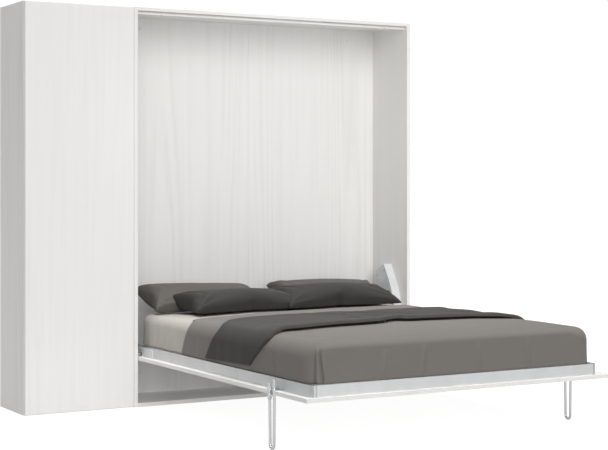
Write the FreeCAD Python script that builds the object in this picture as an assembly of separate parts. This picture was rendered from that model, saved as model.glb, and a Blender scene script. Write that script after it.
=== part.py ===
import FreeCAD, Part

# Murphy wall bed with a side column: a double bed that folds up into a white ash cabinet.
# Lengths are millimetres. The parts are drawn with X from the column's left face to the
# right, Y from the cabinet's front plane into the wall and Z up from the floor. The bed is
# drawn open. ORIGIN then moves every part, so that the origin of the finished model is the
# bottom centre of its box.

import math
import os

Vector = FreeCAD.Vector
X_AXIS = Vector(1, 0, 0)
Z_AXIS = Vector(0, 0, 1)

# Cabinet and column
TOTAL_WIDTH = 2433.0
HEIGHT = 2190.0
DEPTH = 404.0
COLUMN_WIDTH = 622.0
BOARD = 18.0
SIDE_BOARD = 22.0
BASE_BOARD = 22.0
BACK_BOARD = 16.0
BACK_FACE_Y = 385.0
BACK_SEAM = 1.0
EDGE_ROUND = 0.8
STOP_RAIL_Z = 2154.0
STOP_RAIL_T = 13.0
STOP_RAIL_DEPTH = 100.0
STOP_RAIL_SETBACK = 22.0
SHADOW_GAP_DEPTH = 8.0
BUFFER_INSET = 150.0
OPENING_LEFT = COLUMN_WIDTH + SIDE_BOARD
OPENING_RIGHT = TOTAL_WIDTH - SIDE_BOARD
OPENING_MID = (OPENING_LEFT + OPENING_RIGHT) / 2
TOP_Z = HEIGHT - BOARD
BACK_REAR_Y = BACK_FACE_Y + BACK_BOARD

# Column door and its pivot hinges
DOOR_T = 20.0
DOOR_GAP = 1.5
DOOR_BOTTOM_Z = 5.0
COLUMN_FRONT_Y = DOOR_T + 2.0
DOOR_PIVOT_X = 7.0
DOOR_PIVOT_Y = 8.0
DOOR_PIN_R = 3.0
DOOR_PIN_REACH = 14.0
DOOR_TOP_GAP = 3.0
FRONT_EDGE_ROUND = 1.2
HINGE_PLATE_T = 3.0
HINGE_HEIGHTS = (27.0, 2160.0)
RUNNING_CLEARANCE = 0.05

# Column fittings
SHELF_HEIGHTS = (380.0, 720.0, 1752.0, 1962.0)
SHELF_FRONT_Y = 60.0
SHELF_PIN_R = 2.5
SHELF_PIN_REACH = 8.0
RAIL_Z = 1660.0
RAIL_Y = 205.0
RAIL_R = 12.5
RAIL_TUBE_WALL = 1.5
JOINING_BOLT_YS = (60.0, 330.0)
JOINING_BOLT_ZS = (100.0, 1100.0, 2100.0)
JOINING_BOLT_R = 4.0
JOINING_HEAD_R = 7.0
JOINING_HEAD_T = 2.5

# Bed pivot: the whole bed turns about one line just above the front panel
PIVOT_Y = 31.0
PIVOT_Z = 287.0
PIVOT_R = 7.0
PIVOT_TAIL = 20.0
COLLAR_T = 4.0
BUSH_WALL = 2.0

# Front panel: the cabinet's front when the bed is up, the bed's underside when it is down
PANEL_BOTTOM_Z = 256.0
PANEL_T = 20.0
PANEL_TOP_Z = PANEL_BOTTOM_Z + PANEL_T
PANEL_FOOT_Y = -1839.0
PANEL_HEAD_Y = 291.0
PANEL_GAP = 3.0

# Aluminium bed frame on the panel
FRAME_LEFT = 682.5
FRAME_RIGHT = 2322.5
FRAME_MID = (FRAME_LEFT + FRAME_RIGHT) / 2
FRAME_FOOT_Y = -1828.0
RAIL_WIDTH = 20.0
RAIL_HEIGHT = 55.0
RAIL_WALL = 2.5
RAIL_EDGE_R = 1.5
RAIL_HEAD_Y = 205.0
CORNER_R = 25.0
FRAME_TOP_Z = PANEL_TOP_Z + RAIL_HEIGHT
CORNER_Y = FRAME_FOOT_Y + CORNER_R
HEAD_RAIL_Y = 98.0

# Slatted base
SLAT_COUNT = 15
SLAT_PITCH = 128.0
SLAT_FIRST_Y = -1750.0
SLAT_WIDTH = 68.0
SLAT_T = 12.0
MATTRESS_BOTTOM_Z = 300.0
BEAM_WIDTH = 30.0

# Mechanism on each side of the bed
MECH_LEFT = OPENING_LEFT
MECH_PLATE_T = 4.0
MECH_FRONT_Y = 21.5
MECH_REAR_Y = 265.0
MECH_BOTTOM_Z = 277.5
MECH_BOLT_R = 4.0
MECH_BOLT_HEAD_R = 7.0
MECH_BOLT_HEAD_T = 3.0
MECH_BOSS_R = 9.0
HOUSING_DEPTH = OPENING_RIGHT - (2 * FRAME_MID - MECH_LEFT)
HOUSING_WALL = 3.0
LEVER_T = 6.0
SPRING_X = 663.0
SPRING_TOP_Y = 110.0
SPRING_TOP_Z = 560.0
SPRING_LEVER_Y = 171.0
SPRING_LEVER_Z = 317.0
CYLINDER_R = 11.0
CYLINDER_LENGTH = 215.0
ROD_R = 5.0
SPRING_PIN_R = 5.0

# Fold-down legs, one at each long edge of the panel
LEG_TUBE_R = 7.0
LEG_X = 653.5
LEG_FRONT_Y = -1532.0
LEG_SPREAD_TOP = 44.0
LEG_SPREAD_FOOT = 36.0
LEG_PIVOT_Z = 236.0
LEG_PIN_R = 3.0
LEG_REAR_Y = LEG_FRONT_Y + LEG_SPREAD_TOP
REAR_POST_TOP_Z = FRAME_TOP_Z - 22
CLEVIS_R = 7.0
CLEVIS_HALF = 8.2
EAR_T = 4.0

# Mattress and bedding
MATTRESS_LEFT = 703.5
MATTRESS_RIGHT = 2301.5
MATTRESS_FOOT_Y = -1805.0
MATTRESS_HEAD_Y = 95.0
MATTRESS_TOP_Z = 498.0
BEDDING_BOTTOM_Z = 333.0
SHEET_T = 2.5
DUVET_T = 11.5
DUVET_FOOT_T = 9.5
DUVET_HEAD_Y = -280.0
BLANKET_T = 3.0
BLANKET_HEM_Z = 345.0
BLANKET_FOOT_Y = -1260.0
BLANKET_HEAD_Y = -570.0

# Pillows: two rows of two
PILLOW_XS = {
    ("back", "left"): (712.0, 1440.0),
    ("back", "right"): (1535.0, 2270.0),
    ("front", "left"): (830.0, 1550.0),
    ("front", "right"): (1575.0, 2225.0),
}
BACK_PILLOW_YS = (15.0, 108.0)
FRONT_PILLOW_YS = (-270.0, -60.0)
BACK_PILLOW_TOP_Z = 624.0
FRONT_PILLOW_TOP_Z = 616.0
PILLOW_ROUND = 35.0

# Wall fixing
WALL_HOLE_R = 4.25
WALL_HOLE_X_OFFSET = 700.0
WALL_HOLE_HEIGHTS = (140.0, 2110.0)
WALL_STRIP_HEIGHT = 40.0
WALL_STRIP_INSET = 80.0

ORIGIN = Vector(TOTAL_WIDTH / 2, (PANEL_FOOT_Y + DEPTH) / 2, 0)


def block(x0, x1, y0, y1, z0, z1):
    return Part.makeBox(x1 - x0, y1 - y0, z1 - z0, Vector(x0, y0, z0))


def board(x0, x1, y0, y1, z0, z1, radius=EDGE_ROUND):
    """A block with every edge slightly rounded, like edged furniture board."""
    solid = block(x0, x1, y0, y1, z0, z1)
    return solid.makeFillet(radius, solid.Edges)


def rod(start, end, radius):
    line = end - start
    return Part.makeCylinder(radius, line.Length, start, line)


def rod_x(x0, x1, y, z, radius):
    return rod(Vector(x0, y, z), Vector(x1, y, z), radius)


def rod_z(x, y, z0, z1, radius):
    return rod(Vector(x, y, z0), Vector(x, y, z1), radius)


def side_plate(outline, x0, x1):
    """A flat plate square to X: outline is a list of (y, z) corners."""
    corners = [Vector(x0, y, z) for y, z in outline]
    face = Part.Face(Part.makePolygon(corners + corners[:1]))
    return face.extrude(Vector(x1 - x0, 0, 0))


def flat_plate(outline, z0, z1):
    """A flat plate square to Z: outline is a list of (x, y) corners."""
    corners = [Vector(x, y, z0) for x, y in outline]
    face = Part.Face(Part.makePolygon(corners + corners[:1]))
    return face.extrude(Vector(0, 0, z1 - z0))


def joined(first, *others):
    return first.fuse(list(others)).removeSplitter()


def cut(solid, *tools):
    return solid.cut(list(tools))


def mirrored(shape, mid_x):
    """The same part on the other side of the plane X = mid_x."""
    return shape.mirror(Vector(mid_x, 0, 0), X_AXIS)


def save(name, *shapes):
    """Write one node, moved to the model's origin, as one STEP of one or more solids."""
    solids = [solid.translated(-ORIGIN) for shape in shapes for solid in shape.Solids]
    shape = solids[0] if len(solids) == 1 else Part.makeCompound(solids)
    shape.exportStep("parts/" + name + ".step")


# ---------------------------------------------------------------- column carcass

def shelf_pin_places():
    """Two pins at each end of each shelf, just under the shelf."""
    for shelf_z in SHELF_HEIGHTS:
        for pin_y in (SHELF_FRONT_Y + 30, BACK_FACE_Y - 50):
            yield pin_y, shelf_z - SHELF_PIN_R


def shelf_pins():
    pins = []
    for y, z in shelf_pin_places():
        for face_x in (BOARD, COLUMN_WIDTH - BOARD):
            start_x, end_x = face_x - SHELF_PIN_REACH, face_x + SHELF_PIN_REACH
            pins.append(rod_x(start_x, end_x, y, z, SHELF_PIN_R))
    return pins


def joining_bolts():
    """Bolts with flush heads that hold the column to the bed cabinet."""
    x0 = COLUMN_WIDTH - BOARD
    x1 = OPENING_LEFT
    bolts = []
    for y in JOINING_BOLT_YS:
        for z in JOINING_BOLT_ZS:
            shank = rod_x(x0, x1, y, z, JOINING_BOLT_R)
            near_head = rod_x(x0, x0 + JOINING_HEAD_T, y, z, JOINING_HEAD_R)
            far_head = rod_x(x1 - JOINING_HEAD_T, x1, y, z, JOINING_HEAD_R)
            bolts.append(joined(shank, near_head, far_head))
    return bolts


def hinge_bracket(z):
    """Flat steel pivot bracket: a tongue into the door's edge, a plate in the column."""
    top = z + HINGE_PLATE_T
    tongue_r = 4.5
    tongue_half = 4.0
    reach_x = 32.0
    reach_y = 25.0
    plate_rear_y = 90.0
    plate_width = 24.0
    flange_t = 3.0
    flange_height = 28.0
    run = math.hypot(reach_x - DOOR_PIVOT_X, reach_y - DOOR_PIVOT_Y)
    side_x = -tongue_half * (reach_y - DOOR_PIVOT_Y) / run
    side_y = tongue_half * (reach_x - DOOR_PIVOT_X) / run
    tongue = flat_plate(
        [
            (DOOR_PIVOT_X + side_x, DOOR_PIVOT_Y + side_y),
            (DOOR_PIVOT_X - side_x, DOOR_PIVOT_Y - side_y),
            (reach_x - side_x, reach_y - side_y),
            (reach_x + side_x, reach_y + side_y),
        ],
        z,
        top,
    )
    end = rod_z(DOOR_PIVOT_X, DOOR_PIVOT_Y, z, top, tongue_r)
    plate_x = BOARD + flange_t
    plate = block(plate_x, plate_x + plate_width, COLUMN_FRONT_Y, plate_rear_y, z, top)
    flange_y = COLUMN_FRONT_Y + flange_t
    flange_z = z if z < HEIGHT / 2 else top - flange_height
    flange = block(BOARD, plate_x, flange_y, plate_rear_y, flange_z, flange_z + flange_height)
    hole = rod_z(DOOR_PIVOT_X, DOOR_PIVOT_Y, z, top, DOOR_PIN_R + RUNNING_CLEARANCE)
    return cut(joined(tongue, end, plate, flange), hole)


def door_pivot_pins():
    x, y = DOOR_PIVOT_X, DOOR_PIVOT_Y
    return [
        rod_z(x, y, z - DOOR_PIN_REACH, z + HINGE_PLATE_T + DOOR_PIN_REACH, DOOR_PIN_R)
        for z in HINGE_HEIGHTS
    ]


def column_door():
    door = board(
        DOOR_GAP,
        COLUMN_WIDTH - DOOR_GAP,
        0,
        DOOR_T,
        DOOR_BOTTOM_Z,
        HEIGHT - DOOR_TOP_GAP,
        FRONT_EDGE_ROUND,
    )
    pocket_right_x = 37.0
    pocket_front_y = 3.0
    slack = 0.7
    pockets = [
        block(0, pocket_right_x, pocket_front_y, DOOR_T + 1, z - slack, z + HINGE_PLATE_T + slack)
        for z in HINGE_HEIGHTS
    ]
    return cut(door, *pockets, *door_pivot_pins())


def build_column():
    right_x = COLUMN_WIDTH - BOARD
    side = board(0, BOARD, COLUMN_FRONT_Y, DEPTH, 0, HEIGHT)
    other_side = board(right_x, COLUMN_WIDTH, COLUMN_FRONT_Y, DEPTH, 0, HEIGHT)
    pins = shelf_pins()
    bolts = joining_bolts()
    save("column_side_left", cut(side, *pins))
    save("column_side_right", cut(other_side, *pins, *bolts))
    save("column_top", board(BOARD, right_x, COLUMN_FRONT_Y, BACK_REAR_Y, TOP_Z, HEIGHT))
    save("column_bottom", board(BOARD, right_x, COLUMN_FRONT_Y, BACK_REAR_Y, 0, BASE_BOARD))
    save("column_back", block(BOARD, right_x, BACK_FACE_Y, BACK_REAR_Y, BASE_BOARD, TOP_Z))
    shelves = [
        board(BOARD + 1, right_x - 1, SHELF_FRONT_Y, BACK_FACE_Y, z, z + BOARD)
        for z in SHELF_HEIGHTS
    ]
    save("column_shelves", *shelves)
    save("shelf_pins", *pins)
    save("joining_bolts", *bolts)


def build_hanging_rail():
    left_x = BOARD
    right_x = COLUMN_WIDTH - BOARD
    cup_length = 14.0
    cup_wall = 3.0
    flange_r = RAIL_R + 10
    tube = cut(
        rod_x(left_x + cup_wall, right_x - cup_wall, RAIL_Y, RAIL_Z, RAIL_R),
        rod_x(left_x, right_x, RAIL_Y, RAIL_Z, RAIL_R - RAIL_TUBE_WALL),
    )
    cup = joined(
        rod_x(left_x, left_x + cup_wall, RAIL_Y, RAIL_Z, flange_r),
        rod_x(left_x, left_x + cup_length, RAIL_Y, RAIL_Z, RAIL_R + cup_wall),
    )
    cup = cut(cup, rod_x(left_x + cup_wall, left_x + cup_length, RAIL_Y, RAIL_Z, RAIL_R))
    save("hanging_rail", tube)
    save("rail_sockets", cup, mirrored(cup, COLUMN_WIDTH / 2))


def build_column_door():
    save("column_door", column_door())
    save("door_pivot_pins", *door_pivot_pins())
    save("door_pivot_brackets", *[hinge_bracket(z) for z in HINGE_HEIGHTS])


# ---------------------------------------------------------------- bed cabinet

def wall_holes():
    return [
        rod(Vector(x, BACK_FACE_Y - 1, z), Vector(x, DEPTH + 1, z), WALL_HOLE_R)
        for x in (OPENING_MID - WALL_HOLE_X_OFFSET, OPENING_MID + WALL_HOLE_X_OFFSET)
        for z in WALL_HOLE_HEIGHTS
    ]


def stop_rail():
    """Board under the top's front edge, with a shadow gap above it, which stops the raised bed."""
    left, right = OPENING_LEFT, OPENING_RIGHT
    rear = STOP_RAIL_SETBACK + STOP_RAIL_DEPTH
    rail_top = STOP_RAIL_Z + STOP_RAIL_T
    rail = board(left, right, STOP_RAIL_SETBACK, rear, STOP_RAIL_Z, rail_top)
    inset = STOP_RAIL_SETBACK + SHADOW_GAP_DEPTH
    return joined(rail, block(left, right, inset, rear, rail_top - 2, TOP_Z))


def build_cabinet():
    left, right = OPENING_LEFT, OPENING_RIGHT
    holes = wall_holes()
    side = board(COLUMN_WIDTH, left, 0, DEPTH, 0, HEIGHT)
    other_side = board(right, TOTAL_WIDTH, 0, DEPTH, 0, HEIGHT)
    save("cabinet_side_left", cut(side, *joining_bolts(), *mechanism_bolts(False)))
    save("cabinet_side_right", cut(other_side, *mechanism_bolts(True)))
    save("cabinet_top", board(left, right, 0, BACK_REAR_Y, TOP_Z, HEIGHT))
    save("cabinet_bottom", board(left, right, 0, BACK_REAR_Y, 0, BASE_BOARD))
    save("stop_rail", stop_rail())
    seam_left, seam_right = OPENING_MID - BACK_SEAM / 2, OPENING_MID + BACK_SEAM / 2
    back_left = block(left, seam_left, BACK_FACE_Y, BACK_REAR_Y, BASE_BOARD, TOP_Z)
    back_right = block(seam_right, right, BACK_FACE_Y, BACK_REAR_Y, BASE_BOARD, TOP_Z)
    save("cabinet_back_left", cut(back_left, *holes))
    save("cabinet_back_right", cut(back_right, *holes))
    strip_left, strip_right = left + WALL_STRIP_INSET, right - WALL_STRIP_INSET
    half = WALL_STRIP_HEIGHT / 2
    strips = [
        cut(block(strip_left, strip_right, BACK_REAR_Y, DEPTH, z - half, z + half), *holes)
        for z in WALL_HOLE_HEIGHTS
    ]
    save("wall_strips", *strips)


def build_door_buffers():
    """Two soft pads on the stop rail's front edge, which the raised front panel meets."""
    radius = 3.0
    slack = 0.4
    z = STOP_RAIL_Z + radius + 0.5
    buffers = []
    for x in (OPENING_LEFT + BUFFER_INSET, OPENING_RIGHT - BUFFER_INSET):
        start = Vector(x, PANEL_T + slack, z)
        buffers.append(rod(start, Vector(x, STOP_RAIL_SETBACK, z), radius))
    save("door_buffers", *buffers)


# ---------------------------------------------------------------- mechanism

MECH_CORNERS = (
    (PIVOT_Y, MECH_BOTTOM_Z),
    (MECH_REAR_Y, MECH_BOTTOM_Z),
    (MECH_REAR_Y, 680.0),
    (174.0, 727.0),
    (100.0, 603.0),
    (70.0, 520.0),
    (MECH_FRONT_Y, 320.0),
    (MECH_FRONT_Y, PIVOT_Z),
)
MECH_OUTLINE = MECH_CORNERS + ((PIVOT_Y, PIVOT_Z),)
MECH_BOLT_PLACES = ((70.0, 320.0), (245.0, 300.0), (245.0, 655.0), (168.0, 690.0))


def mechanism_bolts(on_right):
    """Hexagon-headed bolts on the left plate's face, mirrored for the right one."""
    bolts = []
    face_x = MECH_LEFT + MECH_PLATE_T
    screwed_in = 12.0
    shank_x = MECH_LEFT - screwed_in - (HOUSING_DEPTH if on_right else 0)
    for y, z in MECH_BOLT_PLACES:
        corners = []
        for angle in range(0, 360, 60):
            turn = math.radians(angle)
            across = MECH_BOLT_HEAD_R * math.cos(turn)
            corners.append((y + across, z + MECH_BOLT_HEAD_R * math.sin(turn)))
        head = side_plate(corners, face_x, face_x + MECH_BOLT_HEAD_T)
        bolts.append(joined(head, rod_x(shank_x, face_x, y, z, MECH_BOLT_R)))
    if on_right:
        bolts = [mirrored(bolt, FRAME_MID) for bolt in bolts]
    return bolts


def mechanism_shape(x0, x1):
    """The mechanism's outline, rounded round the pivot, as a solid from x0 to x1."""
    corner_r = PIVOT_Y - MECH_FRONT_Y
    return joined(side_plate(MECH_OUTLINE, x0, x1), rod_x(x0, x1, PIVOT_Y, PIVOT_Z, corner_r))


def mechanism_plate():
    x0 = MECH_LEFT
    x1 = MECH_LEFT + MECH_PLATE_T
    pivot_hole = rod_x(x0, x1, PIVOT_Y, PIVOT_Z, PIVOT_R)
    spring_hole = rod_x(x0, x1, SPRING_TOP_Y, SPRING_TOP_Z, SPRING_PIN_R)
    return cut(mechanism_shape(x0, x1), pivot_hole, spring_hole)


def mechanism_housing():
    """Folded steel box that carries the right-hand plate out from the cabinet side."""
    x0 = MECH_LEFT - HOUSING_DEPTH
    outside = mechanism_shape(x0, MECH_LEFT)
    corners = [Vector(x0 + HOUSING_WALL, y, z) for y, z in MECH_CORNERS]
    inner_face = Part.Face(Part.makePolygon(corners + corners[:1]))
    inner_face = inner_face.makeOffset2D(-HOUSING_WALL)
    inside = inner_face.extrude(Vector(HOUSING_DEPTH, 0, 0))
    bosses = [rod_x(x0, MECH_LEFT, y, z, MECH_BOSS_R) for y, z in MECH_BOLT_PLACES]
    bosses.append(rod_x(x0, MECH_LEFT, PIVOT_Y, PIVOT_Z, MECH_BOSS_R))
    shell = joined(cut(outside, inside), *[boss.common(outside) for boss in bosses])
    bolt_holes = [rod_x(x0, MECH_LEFT, y, z, MECH_BOLT_R) for y, z in MECH_BOLT_PLACES]
    pin_hole = rod_x(MECH_LEFT - PIVOT_TAIL, MECH_LEFT, PIVOT_Y, PIVOT_Z, PIVOT_R)
    return mirrored(cut(shell, pin_hole, *bolt_holes), FRAME_MID)


def pivot_pin(tail):
    """Pin the bed turns on, with a collar: tail is how far it goes behind the plate."""
    pin = rod_x(MECH_LEFT - tail, FRAME_LEFT - 0.5, PIVOT_Y, PIVOT_Z, PIVOT_R)
    face_x = MECH_LEFT + MECH_PLATE_T
    return joined(pin, rod_x(face_x, face_x + COLLAR_T, PIVOT_Y, PIVOT_Z, PIVOT_R + 2))


def spring_pin():
    pin = rod_x(MECH_LEFT, SPRING_X + 11, SPRING_TOP_Y, SPRING_TOP_Z, SPRING_PIN_R)
    face_x = MECH_LEFT + MECH_PLATE_T
    collar = rod_x(face_x, face_x + COLLAR_T, SPRING_TOP_Y, SPRING_TOP_Z, SPRING_PIN_R + 3)
    return joined(pin, collar)


def lever_plate():
    """Steel plate on the bed frame: turns on the pivot pin and carries the spring's stud."""
    x0 = FRAME_LEFT - LEVER_T
    front_y = -120.0
    rear_y = 190.0
    shoulder_z = 322.0
    ear_z = 333.0
    outline = [
        (front_y, MECH_BOTTOM_Z),
        (rear_y, MECH_BOTTOM_Z),
        (rear_y, shoulder_z),
        (SPRING_LEVER_Y + 10, ear_z),
        (SPRING_LEVER_Y - 11, ear_z),
        (SPRING_LEVER_Y - 51, shoulder_z),
        (front_y + 15, shoulder_z),
        (front_y, shoulder_z - 12),
    ]
    plate = side_plate(outline, x0, FRAME_LEFT)
    hole = rod_x(x0, FRAME_LEFT, PIVOT_Y, PIVOT_Z, PIVOT_R + BUSH_WALL)
    stud = rod_x(SPRING_X + 10, x0, SPRING_LEVER_Y, SPRING_LEVER_Z, SPRING_PIN_R)
    return joined(cut(plate, hole), stud)


def pivot_bush():
    x0 = FRAME_LEFT - LEVER_T
    flange_x = x0 - 4
    body = rod_x(x0, FRAME_LEFT - 0.2, PIVOT_Y, PIVOT_Z, PIVOT_R + BUSH_WALL)
    flange = rod_x(flange_x, x0, PIVOT_Y, PIVOT_Z, PIVOT_R + 3.4)
    bore = rod_x(flange_x, FRAME_LEFT, PIVOT_Y, PIVOT_Z, PIVOT_R + RUNNING_CLEARANCE)
    return cut(joined(body, flange), bore)


def spring_point(distance):
    """A point on the gas spring's centre line, that far from its upper pin."""
    top = Vector(SPRING_X, SPRING_TOP_Y, SPRING_TOP_Z)
    foot = Vector(SPRING_X, SPRING_LEVER_Y, SPRING_LEVER_Z)
    direction = foot - top
    direction.normalize()
    return top + direction * distance


def gas_cylinder():
    x0 = SPRING_X - CYLINDER_R
    x1 = SPRING_X + CYLINDER_R
    eye = rod_x(x0 + 2, x1 - 2, SPRING_TOP_Y, SPRING_TOP_Z, CYLINDER_R - 1)
    body = rod(spring_point(8), spring_point(CYLINDER_LENGTH), CYLINDER_R)
    bore = rod(spring_point(20), spring_point(CYLINDER_LENGTH), ROD_R + RUNNING_CLEARANCE)
    pin_r = SPRING_PIN_R + RUNNING_CLEARANCE
    pin_hole = rod_x(x0, x1, SPRING_TOP_Y, SPRING_TOP_Z, pin_r)
    return cut(joined(eye, body), bore, pin_hole)


def gas_rod():
    length = math.hypot(SPRING_LEVER_Y - SPRING_TOP_Y, SPRING_LEVER_Z - SPRING_TOP_Z)
    eye_half = 8.0
    eye_r = 9.0
    stud_r = SPRING_PIN_R + 0.2
    shaft = rod(spring_point(22), spring_point(length - 6), ROD_R)
    x0, x1 = SPRING_X - eye_half, SPRING_X + eye_half
    eye = rod_x(x0, x1, SPRING_LEVER_Y, SPRING_LEVER_Z, eye_r)
    eye_hole = rod_x(x0, x1, SPRING_LEVER_Y, SPRING_LEVER_Z, stud_r)
    return cut(joined(shaft, eye), eye_hole)


def build_mechanism():
    plate = mechanism_plate()
    left_bolts = mechanism_bolts(False)
    right_bolts = mechanism_bolts(True)
    right_plate = mirrored(plate, FRAME_MID)
    save("mechanism_plate_left", cut(plate, *left_bolts))
    save("mechanism_plate_right", cut(right_plate, *right_bolts))
    save("mechanism_housing_right", mechanism_housing())
    save("mechanism_bolts", *left_bolts, *right_bolts)
    save("pivot_pins", pivot_pin(0), mirrored(pivot_pin(PIVOT_TAIL), FRAME_MID))
    save("spring_pins", spring_pin(), mirrored(spring_pin(), FRAME_MID))
    save("pivot_bushes", pivot_bush(), mirrored(pivot_bush(), FRAME_MID))
    for name, shape in (
        ("lever_plate", lever_plate()),
        ("gas_cylinder", gas_cylinder()),
        ("gas_rod", gas_rod()),
    ):
        save(name + "_left", shape)
        save(name + "_right", mirrored(shape, FRAME_MID))


# ---------------------------------------------------------------- front panel and legs

def leg_notch():
    """Slot in the panel's edge that the leg bracket's two posts pass through."""
    front = LEG_FRONT_Y - LEG_TUBE_R - 2
    rear = LEG_REAR_Y + LEG_TUBE_R + 2
    inner_x = LEG_X + LEG_TUBE_R + 1.5
    return block(OPENING_LEFT, inner_x, front, rear, PANEL_BOTTOM_Z - 1, PANEL_TOP_Z + 1)


def build_front_panel():
    left = OPENING_LEFT + PANEL_GAP
    seam = 0.5
    half = board(
        left,
        OPENING_MID - seam,
        PANEL_FOOT_Y,
        PANEL_HEAD_Y,
        PANEL_BOTTOM_Z,
        PANEL_TOP_Z,
        FRONT_EDGE_ROUND,
    )
    half = cut(half, leg_notch())
    save("front_panel_left", half)
    save("front_panel_right", mirrored(half, OPENING_MID))


def leg_bracket():
    """Fixed half of the leg: a flange on the panel, two posts and a clevis under it."""
    flange_left = OPENING_LEFT + PANEL_GAP + 1
    flange_right = FRAME_LEFT - 1.5
    margin = 22.0
    flange_t = 4.0
    flange_front, flange_rear = LEG_FRONT_Y - margin, LEG_REAR_Y + margin
    flange_top = PANEL_TOP_Z + flange_t
    flange = block(
        flange_left, flange_right, flange_front, flange_rear, PANEL_TOP_Z, flange_top
    )
    front_post = rod_z(LEG_X, LEG_FRONT_Y, LEG_PIVOT_Z + 5, FRAME_TOP_Z, LEG_TUBE_R)
    rear_post = rod_z(LEG_X, LEG_REAR_Y, PANEL_BOTTOM_Z - 6, REAR_POST_TOP_Z, LEG_TUBE_R)
    tie_z = PANEL_BOTTOM_Z - 8
    tie_top = tie_z + 6
    tie = block(LEG_X - 6, LEG_X + 6, LEG_FRONT_Y, LEG_REAR_Y, tie_z, tie_top)
    bracket = joined(flange, front_post, rear_post, tie)
    ear_front, ear_rear = LEG_REAR_Y - CLEVIS_R, LEG_REAR_Y + CLEVIS_R
    for ear_x in (LEG_X - CLEVIS_HALF, LEG_X + CLEVIS_HALF - EAR_T):
        ear = block(ear_x, ear_x + EAR_T, ear_front, ear_rear, LEG_PIVOT_Z, tie_top)
        tip = rod_x(ear_x, ear_x + EAR_T, LEG_REAR_Y, LEG_PIVOT_Z, CLEVIS_R)
        bracket = joined(bracket, ear, tip)
    hole = rod_x(LEG_X - CLEVIS_HALF, LEG_X + CLEVIS_HALF, LEG_REAR_Y, LEG_PIVOT_Z, LEG_PIN_R)
    return cut(bracket, hole)


def leg_pin():
    start_x, end_x = LEG_X - CLEVIS_HALF, LEG_X + CLEVIS_HALF
    return rod_x(start_x, end_x, LEG_REAR_Y, LEG_PIVOT_Z, LEG_PIN_R)


def leg():
    """U-shaped tube leg: two rods that close in slightly to a half-round foot."""
    mid_y = LEG_FRONT_Y + LEG_SPREAD_TOP / 2
    bend_r = LEG_SPREAD_FOOT / 2
    bend_z = bend_r + LEG_TUBE_R
    rod_top_z = LEG_PIVOT_Z + 3
    knuckle_half = CLEVIS_HALF - EAR_T - 0.2
    slope = math.atan2((LEG_SPREAD_TOP - LEG_SPREAD_FOOT) / 2, rod_top_z - bend_z)
    side_y = bend_r * math.cos(slope)
    side_z = bend_z - bend_r * math.sin(slope)
    front_top = Vector(LEG_X, mid_y - LEG_SPREAD_TOP / 2, rod_top_z)
    rear_top = Vector(LEG_X, mid_y + LEG_SPREAD_TOP / 2, LEG_PIVOT_Z - 6)
    front_foot = Vector(LEG_X, mid_y - side_y, side_z)
    rear_foot = Vector(LEG_X, mid_y + side_y, side_z)
    lowest = Vector(LEG_X, mid_y, bend_z - bend_r)
    bend = Part.Wire(Part.Arc(front_foot, lowest, rear_foot).toShape())
    section = Part.Wire(Part.makeCircle(LEG_TUBE_R, front_foot, front_foot - front_top))
    foot = bend.makePipeShell([section], True, False)
    front_rod = rod(front_top, front_foot, LEG_TUBE_R)
    rear_rod = rod(rear_top, rear_foot, LEG_TUBE_R)
    knuckle_x0, knuckle_x1 = LEG_X - knuckle_half, LEG_X + knuckle_half
    neck_y0, neck_y1 = LEG_REAR_Y - 5, LEG_REAR_Y + 5
    neck = block(knuckle_x0, knuckle_x1, neck_y0, neck_y1, LEG_PIVOT_Z - 14, LEG_PIVOT_Z)
    knuckle = rod_x(knuckle_x0, knuckle_x1, LEG_REAR_Y, LEG_PIVOT_Z, CLEVIS_R)
    slot_y0, slot_y1 = LEG_REAR_Y - 9, LEG_REAR_Y + 9
    slot_z = LEG_PIVOT_Z - 10
    for slot_x in (knuckle_x0 - 5, knuckle_x1):
        rear_rod = rear_rod.cut(block(slot_x, slot_x + 5, slot_y0, slot_y1, slot_z, rod_top_z))
    pin_r = LEG_PIN_R + RUNNING_CLEARANCE
    hole = rod_x(knuckle_x0, knuckle_x1, LEG_REAR_Y, LEG_PIVOT_Z, pin_r)
    return cut(joined(foot, front_rod, rear_rod, neck, knuckle), hole)


def build_legs():
    save("leg_left", leg())
    save("leg_right", mirrored(leg(), OPENING_MID))
    save("leg_bracket_left", leg_bracket())
    save("leg_bracket_right", mirrored(leg_bracket(), OPENING_MID))
    save("leg_pins", leg_pin(), mirrored(leg_pin(), OPENING_MID))


# ---------------------------------------------------------------- bed frame

def tube_x(x0, x1, y0, y1):
    """Square-cut aluminium profile along X, standing on the panel."""
    outer = block(x0, x1, y0, y1, PANEL_TOP_Z, FRAME_TOP_Z)
    long_edges = [edge for edge in outer.Edges if abs(edge.tangentAt(0).x) > 0.9]
    outer = outer.makeFillet(RAIL_EDGE_R, long_edges)
    inner = block(
        x0 - 1,
        x1 + 1,
        y0 + RAIL_WALL,
        y1 - RAIL_WALL,
        PANEL_TOP_Z + RAIL_WALL,
        FRAME_TOP_Z - RAIL_WALL,
    )
    return cut(outer, inner)


def tube_y(x0, x1, y0, y1):
    """The same profile along Y."""
    outer = block(x0, x1, y0, y1, PANEL_TOP_Z, FRAME_TOP_Z)
    long_edges = [edge for edge in outer.Edges if abs(edge.tangentAt(0).y) > 0.9]
    outer = outer.makeFillet(RAIL_EDGE_R, long_edges)
    inner = block(
        x0 + RAIL_WALL,
        x1 - RAIL_WALL,
        y0 - 1,
        y1 + 1,
        PANEL_TOP_Z + RAIL_WALL,
        FRAME_TOP_Z - RAIL_WALL,
    )
    return cut(outer, inner)


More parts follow.
